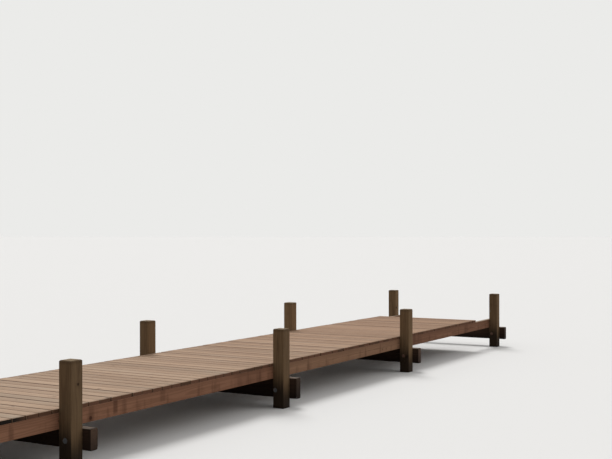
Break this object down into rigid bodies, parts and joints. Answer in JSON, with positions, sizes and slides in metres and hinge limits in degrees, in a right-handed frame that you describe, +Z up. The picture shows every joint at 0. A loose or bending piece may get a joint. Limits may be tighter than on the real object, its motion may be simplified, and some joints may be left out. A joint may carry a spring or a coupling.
{
  "type": "wooden jetty",
  "caption": "Straight timber jetty on pairs of square posts, with cross beams under long beams and a deck of cross boards, its last boards missing at the lake end.",
  "frame": {"origin": "middle of the outline in plan, level with the feet of the posts", "axes": "+X along the deck from the shore to the lake end, +Y across the deck to the left, +Z up"},
  "size_m": [19.15, 2.43, 1.005],
  "materials": {
    "post_wood": "sawn softwood, weathered, damp and darker at the foot",
    "beam_wood": "sawn softwood, damp and dark",
    "edge_wood": "sawn softwood, reddish brown",
    "joist_wood": "sawn softwood",
    "deck_wood": "sawn softwood boards, weathered to a pale greyish beige",
    "bolt_steel": "zinc on steel, dulled by the weather, for the bolts and screws, which aren't solids"
  },
  "bodies": {
    "root": {"left_post_1": "post_wood", "right_post_1": "post_wood", "cross_beam_1": "beam_wood", "left_post_2": "post_wood", "right_post_2": "post_wood", "cross_beam_2": "beam_wood", "left_post_3": "post_wood", "right_post_3": "post_wood", "cross_beam_3": "beam_wood", "left_post_4": "post_wood", "right_post_4": "post_wood", "cross_beam_4": "beam_wood", "left_post_5": "post_wood", "right_post_5": "post_wood", "cross_beam_5": "beam_wood", "left_post_6": "post_wood", "right_post_6": "post_wood", "cross_beam_6": "beam_wood", "left_edge_beam_1": "edge_wood", "right_edge_beam_1": "edge_wood", "inner_joists_1": "joist_wood", "deck_boards_1": "deck_wood", "left_edge_beam_2": "edge_wood", "right_edge_beam_2": "edge_wood", "inner_joists_2": "joist_wood", "deck_boards_2": "deck_wood", "left_edge_beam_3": "edge_wood", "right_edge_beam_3": "edge_wood", "inner_joists_3": "joist_wood", "deck_boards_3": "deck_wood", "left_edge_beam_4": "edge_wood", "right_edge_beam_4": "edge_wood", "inner_joists_4": "joist_wood", "deck_boards_4": "deck_wood", "left_edge_beam_5": "edge_wood", "right_edge_beam_5": "edge_wood", "inner_joists_5": "joist_wood", "deck_boards_5": "deck_wood", "end_trimmer": "joist_wood"}
  },
  "joints": []
}
